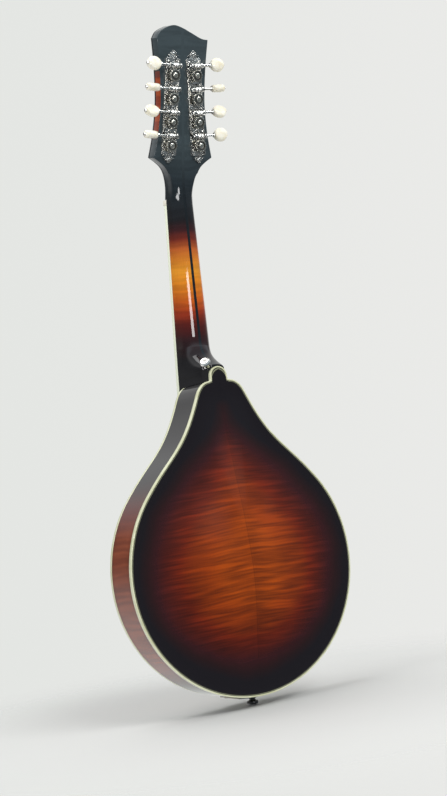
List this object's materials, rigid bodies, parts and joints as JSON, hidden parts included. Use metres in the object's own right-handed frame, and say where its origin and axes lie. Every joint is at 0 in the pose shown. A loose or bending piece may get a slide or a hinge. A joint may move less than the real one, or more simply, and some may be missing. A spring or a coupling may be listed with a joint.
{
  "type": "a-style mandolin",
  "caption": "Teardrop-bodied a-style mandolin with a carved arched top and back, cream binding, a dark-burst neck, a floating bridge and geared tuners.",
  "frame": {"origin": "middle of the outer flat face of the end pin, on the centre line at the tail", "axes": "+Z from the end pin along the body to the peghead, +Y out of the back, +X to the treble side"},
  "size_m": [0.2534, 0.0988, 0.6788],
  "materials": {
    "stained_spruce": "gloss lacquer over a brown stain",
    "sunburst_maple": "gloss lacquer over a sunburst from amber to black",
    "bare_wood": "bare, planed",
    "dark_wood": "satin, near black",
    "black_lacquer": "gloss black veneer",
    "ivory_plastic": "polished cream plastic",
    "bone": "polished bone",
    "black_plastic": "gloss black",
    "steel_wire": "drawn wire",
    "nickel_plate": "polished nickel plate"
  },
  "bodies": {
    "instrument": {"peghead_overlay": "black_lacquer", "truss_rod_cover": "dark_wood", "tuner_plate_treble": "nickel_plate", "tuner_plate_bass": "nickel_plate", "neck_treble_half": "sunburst_maple", "neck_center_strip": "dark_wood", "neck_bass_half": "sunburst_maple", "truss_rod": "steel_wire", "fretboard": "dark_wood", "fretboard_binding": "ivory_plastic", "nut": "bone", "pickguard": "black_plastic", "heel_strap_button": "nickel_plate", "top_plate": "stained_spruce", "back_plate": "sunburst_maple", "rim": "sunburst_maple", "top_binding": "ivory_plastic", "back_binding": "ivory_plastic", "neck_block": "bare_wood", "tail_block": "bare_wood", "treble_tone_bar": "bare_wood", "bass_tone_bar": "bare_wood", "bridge_base": "dark_wood", "tailpiece": "nickel_plate", "end_pin": "black_plastic", "string_e_outer": "steel_wire", "string_e_inner": "steel_wire", "string_a_outer": "steel_wire", "string_a_inner": "steel_wire", "string_d_inner": "steel_wire", "string_d_outer": "steel_wire", "string_g_inner": "steel_wire", "string_g_outer": "steel_wire"},
    "button_treble_1": {"worm_shaft_treble_1": "nickel_plate", "tuner_button_treble_1": "ivory_plastic"},
    "post_treble_1": {"gear_post_treble_1": "nickel_plate"},
    "button_treble_2": {"worm_shaft_treble_2": "nickel_plate", "tuner_button_treble_2": "ivory_plastic"},
    "post_treble_2": {"gear_post_treble_2": "nickel_plate"},
    "button_treble_3": {"worm_shaft_treble_3": "nickel_plate", "tuner_button_treble_3": "ivory_plastic"},
    "post_treble_3": {"gear_post_treble_3": "nickel_plate"},
    "button_treble_4": {"worm_shaft_treble_4": "nickel_plate", "tuner_button_treble_4": "ivory_plastic"},
    "post_treble_4": {"gear_post_treble_4": "nickel_plate"},
    "button_bass_1": {"worm_shaft_bass_1": "nickel_plate", "tuner_button_bass_1": "ivory_plastic"},
    "post_bass_1": {"gear_post_bass_1": "nickel_plate"},
    "button_bass_2": {"worm_shaft_bass_2": "nickel_plate", "tuner_button_bass_2": "ivory_plastic"},
    "post_bass_2": {"gear_post_bass_2": "nickel_plate"},
    "button_bass_3": {"worm_shaft_bass_3": "nickel_plate", "tuner_button_bass_3": "ivory_plastic"},
    "post_bass_3": {"gear_post_bass_3": "nickel_plate"},
    "button_bass_4": {"worm_shaft_bass_4": "nickel_plate", "tuner_button_bass_4": "ivory_plastic"},
    "post_bass_4": {"gear_post_bass_4": "nickel_plate"},
    "wheel_treble": {"thumbwheel_treble": "nickel_plate"},
    "wheel_bass": {"thumbwheel_bass": "nickel_plate"},
    "saddle": {"bridge_saddle": "dark_wood"}
  },
  "joints": [
    {"name": "button_turn_treble_1", "type": "hinge", "parent": "instrument", "child": "button_treble_1", "pos_m": [0.01626, 0.02387, 0.56967], "axis": [0.9981, 0.016, 0.0589], "continuous": true},
    {"name": "post_turn_treble_1", "type": "hinge", "parent": "instrument", "child": "post_treble_1", "pos_m": [0.01686, 0.00329, 0.56523], "axis": [0, 0.965, -0.2622], "continuous": true},
    {"name": "button_turn_treble_2", "type": "hinge", "parent": "instrument", "child": "button_treble_2", "pos_m": [0.01486, 0.02989, 0.59183], "axis": [0.9981, 0.016, 0.0589], "continuous": true},
    {"name": "post_turn_treble_2", "type": "hinge", "parent": "instrument", "child": "post_treble_2", "pos_m": [0.01545, 0.00931, 0.58739], "axis": [0, 0.965, -0.2622], "continuous": true},
    {"name": "button_turn_treble_3", "type": "hinge", "parent": "instrument", "child": "button_treble_3", "pos_m": [0.01346, 0.03591, 0.61398], "axis": [0.9981, 0.016, 0.0589], "continuous": true},
    {"name": "post_turn_treble_3", "type": "hinge", "parent": "instrument", "child": "post_treble_3", "pos_m": [0.01405, 0.01533, 0.60954], "axis": [0, 0.965, -0.2622], "continuous": true},
    {"name": "button_turn_treble_4", "type": "hinge", "parent": "instrument", "child": "button_treble_4", "pos_m": [0.01205, 0.04193, 0.63613], "axis": [0.9981, 0.016, 0.0589], "continuous": true},
    {"name": "post_turn_treble_4", "type": "hinge", "parent": "instrument", "child": "post_treble_4", "pos_m": [0.01264, 0.02134, 0.63169], "axis": [0, 0.965, -0.2622], "continuous": true},
    {"name": "button_turn_bass_1", "type": "hinge", "parent": "instrument", "child": "button_bass_1", "pos_m": [-0.01626, 0.02387, 0.56967], "axis": [0.9981, -0.016, -0.0589], "continuous": true},
    {"name": "post_turn_bass_1", "type": "hinge", "parent": "instrument", "child": "post_bass_1", "pos_m": [-0.01686, 0.00329, 0.56523], "axis": [0, 0.965, -0.2622], "continuous": true},
    {"name": "button_turn_bass_2", "type": "hinge", "parent": "instrument", "child": "button_bass_2", "pos_m": [-0.01486, 0.02989, 0.59183], "axis": [0.9981, -0.016, -0.0589], "continuous": true},
    {"name": "post_turn_bass_2", "type": "hinge", "parent": "instrument", "child": "post_bass_2", "pos_m": [-0.01545, 0.00931, 0.58739], "axis": [0, 0.965, -0.2622], "continuous": true},
    {"name": "button_turn_bass_3", "type": "hinge", "parent": "instrument", "child": "button_bass_3", "pos_m": [-0.01346, 0.03591, 0.61398], "axis": [0.9981, -0.016, -0.0589], "continuous": true},
    {"name": "post_turn_bass_3", "type": "hinge", "parent": "instrument", "child": "post_bass_3", "pos_m": [-0.01405, 0.01533, 0.60954], "axis": [0, 0.965, -0.2622], "continuous": true},
    {"name": "button_turn_bass_4", "type": "hinge", "parent": "instrument", "child": "button_bass_4", "pos_m": [-0.01205, 0.04193, 0.63613], "axis": [0.9981, -0.016, -0.0589], "continuous": true},
    {"name": "post_turn_bass_4", "type": "hinge", "parent": "instrument", "child": "post_bass_4", "pos_m": [-0.01264, 0.02134, 0.63169], "axis": [0, 0.965, -0.2622], "continuous": true},
    {"name": "saddle_lift", "type": "slide", "parent": "instrument", "child": "saddle", "axis": [0, -1, 0], "range_m": [-0.0007, 0.0028], "deforming": ["string_e_outer", "string_e_inner", "string_a_outer", "string_a_inner", "string_d_inner", "string_d_outer", "string_g_inner", "string_g_outer"]},
    {"name": "wheel_turn_treble", "type": "hinge", "parent": "saddle", "child": "wheel_treble", "pos_m": [0.033, -0.04, 0.15687], "axis": [0, -1, 0], "range_deg": [-360, 1440]},
    {"name": "wheel_turn_bass", "type": "hinge", "parent": "saddle", "child": "wheel_bass", "pos_m": [-0.033, -0.04, 0.15687], "axis": [0, -1, 0], "range_deg": [-360, 1440]}
  ],
  "couplings": [
    {"joint": "post_turn_treble_1", "follows": "button_turn_treble_1", "ratio": -0.071429},
    {"joint": "post_turn_treble_2", "follows": "button_turn_treble_2", "ratio": -0.071429},
    {"joint": "post_turn_treble_3", "follows": "button_turn_treble_3", "ratio": -0.071429},
    {"joint": "post_turn_treble_4", "follows": "button_turn_treble_4", "ratio": -0.071429},
    {"joint": "post_turn_bass_1", "follows": "button_turn_bass_1", "ratio": -0.071429},
    {"joint": "post_turn_bass_2", "follows": "button_turn_bass_2", "ratio": -0.071429},
    {"joint": "post_turn_bass_3", "follows": "button_turn_bass_3", "ratio": -0.071429},
    {"joint": "post_turn_bass_4", "follows": "button_turn_bass_4", "ratio": -0.071429},
    {"joint": "saddle_lift", "follows": "wheel_turn_treble", "m_per_rad": 0.00011141},
    {"joint": "wheel_turn_bass", "follows": "wheel_turn_treble", "ratio": 1}
  ]
}
